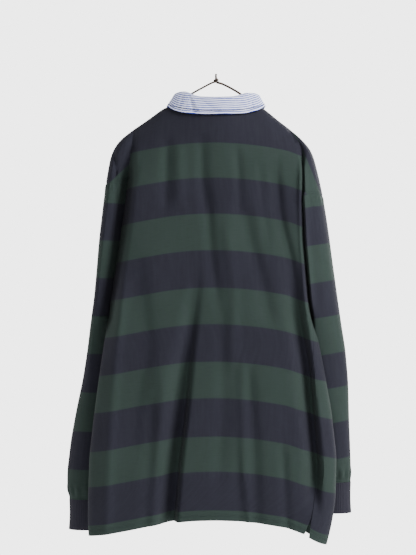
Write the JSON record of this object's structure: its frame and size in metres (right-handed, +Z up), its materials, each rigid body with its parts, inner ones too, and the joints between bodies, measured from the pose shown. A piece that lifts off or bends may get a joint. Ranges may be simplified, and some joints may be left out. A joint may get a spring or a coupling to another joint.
{
  "type": "rugby shirt on a wire hanger",
  "caption": "Long-sleeved striped rugby shirt with a shirting collar, rib cuffs and side vents, hanging on a bent wire hanger by its hook",
  "frame": {"origin": "inner top of the hanger's hook, where it bears on a rail", "axes": "+Z up, +Y out of the shirt's back, +X to the wearer's left"},
  "size_m": [0.5628, 0.1556, 0.9041],
  "materials": {
    "jersey": "matt heavy jersey, green and navy stripes",
    "rib": "matt knitted rib",
    "shirting": "plain woven cotton with fine stripes",
    "placket": "matt woven cotton",
    "button": "moulded, satin",
    "wire": "dark lacquered wire"
  },
  "bodies": {
    "root": {"back": "jersey", "front": "jersey", "sleeve_left": "jersey", "sleeve_right": "jersey", "cuff_left": "rib", "cuff_right": "rib", "collar": "shirting", "placket": "placket", "button_1": "button", "button_2": "button", "button_3": "button", "hanger": "wire"}
  },
  "joints": []
}
